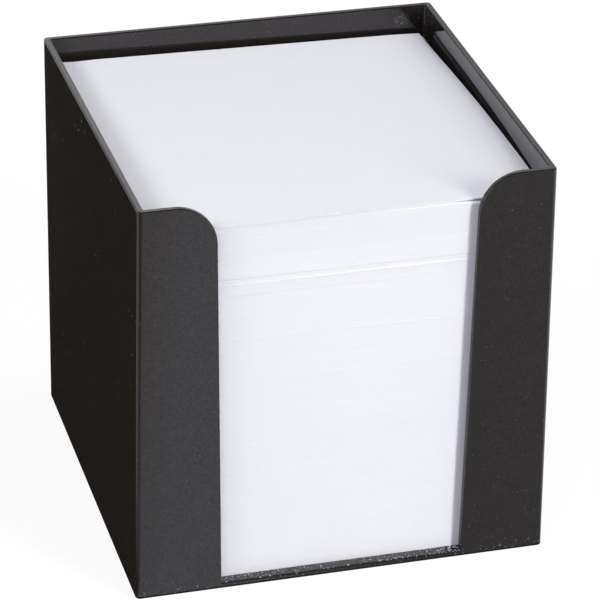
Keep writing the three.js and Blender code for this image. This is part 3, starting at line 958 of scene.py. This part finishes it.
# %% [markdown]
# ### Wads and single notes
#
# The CAD model holds the pile as 36 wads and five single notes. Each gets its own piece here, at the same
# height, so that each can be lifted as it is there. The uppermost notes lie a little askew, as the
# photograph shows, and curl more than the wads below them, which opens a dark line under them at the front
# right.

# %% Make one piece of paper or one wad
identifiers = {item.name: item.identifier for item in pile.interface.items_tree if item.in_out == "INPUT"}


def make_pile(name, **values):
    """Runs the tree with the given inputs and keeps the result as a plain mesh."""
    obj = link(bpy.data.objects.new(name, bpy.data.meshes.new(name)))
    run = obj.modifiers.new("pile", "NODES")
    run.node_group = pile
    for key, value in values.items():
        run[identifiers[key.replace("_", " ")]] = value
    settle(obj)
    obj.data.name = name
    obj.data.shade_smooth()
    obj.data.set_sharp_from_angle(angle=math.radians(40))
    return obj


def lengths(**values):
    """The same values, from millimetres to metres."""
    return {key: value * MM for key, value in values.items()}


print("the modifier calls the input Sheets", identifiers["Sheets"])

# %% [markdown]
# The wads are of uneven thickness and each lies a little off and askew, because nobody puts them back
# exactly. Both follow a slow wave from wad to wad, as in the CAD model. The front keeps nearly in line, as
# in the photograph. Only the three uppermost wads share in the curl and the droop, so only they need many
# cuts across a sheet.

# %% The wads, from the floor up
CURLED_CUTS, FLAT_CUTS, CURLED_THINNER = 19, 2, 0.93
WAD_GAP, SHEET_GAP, WAD_STRAY = 0.002, 0.004, 0.014
SIDEWAYS, FORWARDS, ASKEW = JOG / 2, JOG / 8, JOG / 6 / (SHEET / math.sqrt(2))
weights = [1 + LIFT_SWING * math.sin(2 * math.pi * LIFT_PHASE * i) for i in range(LIFTS)]
lifts_height = STACK_HEIGHT - len(SINGLES) * (THICKNESS + SHEET_AIR)
CURLS = {34: (0.0, 0.08), 35: (0.08, 0.2), 36: (0.2, 0.42)}
DROOPS = {34: (0.0, 0.25), 35: (0.25, 0.6), 36: (0.6, 1.0)}
pieces = {}
low, sheets_laid = 0.0, 0
for i, weight in enumerate(weights):
    height = lifts_height * weight / sum(weights)
    turn = 2 * math.pi * LIFT_PHASE * i
    sheets = round(height / SHEET_PITCH)
    below, above = CURLS.get(i + 1, (0.0, 0.0))
    droop_below, droop_above = DROOPS.get(i + 1, (0.0, 0.0))
    thickness = (height / sheets - SHEET_GAP) * (CURLED_THINNER if above else 1.0)
    name = f"note_lift_{i + 1:02d}"
    pieces[name] = make_pile(
        name + "_sheets", Sheets=sheets, Cuts=CURLED_CUTS if above else FLAT_CUTS, Seed=100 + 7 * i,
        Curl_Below=below, Curl_Above=above, Droop_Below=droop_below, Droop_Above=droop_above,
        Turn=ASKEW * math.cos(2 * turn), Paper=paper,
        **lengths(Sheet_Width=SHEET, Sheet_Thickness=thickness, Lowest=low + WAD_GAP,
                  Height=height - 2 * WAD_GAP, Shift_X=SIDEWAYS * math.cos(turn),
                  Shift_Y=FORWARDS * math.sin(turn), Stray=WAD_STRAY))
    low += height
    sheets_laid += sheets
print("wads:", len(pieces), "sheets in them:", sheets_laid)

# %% [markdown]
# Each of the five single notes is one sheet with many cuts, so that its curl is smooth. The higher it lies,
# the more it curls and the further it is turned. The lower two still droop with the wads. Two stand back a
# little, which draws the thin dark line under the front edge of the uppermost notes.

# %% The single notes
SMOOTH_CUTS = 61
TOP_TURN, TURN_STEP = 0.012, 0.0012
NOTES_LEFT, NOTE_GAP, NOTE_STRAY = 0.3, 0.015, 0.02
TOP_CURLS = {"fifth_note": 0.46, "fourth_note": 0.5, "third_note": 0.78, "second_note": 0.9, "top_note": 1.0}
SET_BACK = {"third_note": 0.25, "fourth_note": 0.1}
for i, name in enumerate(reversed(SINGLES)):
    curl = TOP_CURLS[name]
    droop_here = 1.0 if i < 2 else 0.0
    pieces[name] = make_pile(
        name + "_sheet", Sheets=1, Cuts=SMOOTH_CUTS, Seed=900 + i, Curl_Below=curl, Curl_Above=curl,
        Droop_Below=droop_here, Droop_Above=droop_here,
        Turn=TOP_TURN - TURN_STEP * (len(SINGLES) - 1 - i), Paper=paper,
        **lengths(Sheet_Width=SHEET, Sheet_Thickness=THICKNESS + SHEET_AIR - NOTE_GAP, Lowest=low,
                  Height=THICKNESS + SHEET_AIR, Shift_X=-NOTES_LEFT, Shift_Y=SET_BACK.get(name, 0.0),
                  Stray=NOTE_STRAY))
    low += THICKNESS + SHEET_AIR
print("single notes:", [name for name in pieces if name in SINGLES])
print("top of the pile: %.2f mm" % (low + FLOOR))

# %% [markdown]
# ## Hand the pieces to the frame
#
# Each piece now says which CAD node it stands for and which body it rides on. The box stays where it is,
# the pile lifts out as one body, and the top note lifts off by itself.

# %% Ride and replace
for name, piece in pieces.items():
    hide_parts(name)
    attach(piece, "top_note" if name == "top_note" else "note_stack")
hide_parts("note_box")
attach(shell, "box")
scene.view_settings.view_transform = "Standard"
